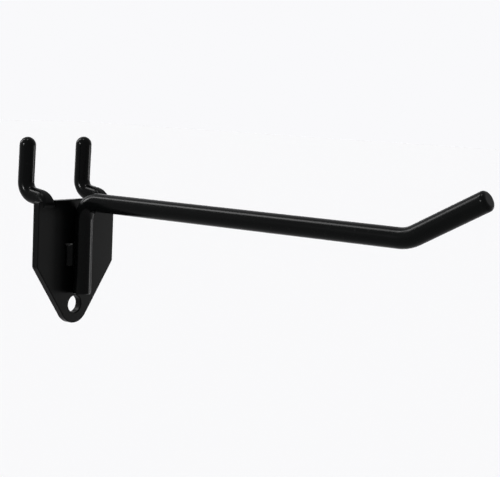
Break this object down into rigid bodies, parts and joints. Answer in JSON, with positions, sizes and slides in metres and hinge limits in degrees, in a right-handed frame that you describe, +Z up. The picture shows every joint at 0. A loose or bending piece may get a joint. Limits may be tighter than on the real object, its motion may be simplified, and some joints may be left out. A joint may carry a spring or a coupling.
{
  "type": "pegboard hook",
  "caption": "Pegboard hook: a stamped back plate with formed J-shaped pegs and a screw hole, and a bent round rod with an upturned tip welded to its front.",
  "frame": {"origin": "on the plate's back face, midway between the centres of the two board holes that the pegs pass through", "axes": "+X to the right as seen from the front, +Y into the board, +Z up"},
  "size_m": [0.0344, 0.1633, 0.0604],
  "materials": {
    "black_coat": "satin black coating over steel"
  },
  "bodies": {
    "root": {"backplate": "black_coat", "hook_rod": "black_coat", "weld_bead_left": "black_coat", "weld_bead_right": "black_coat"}
  },
  "joints": []
}
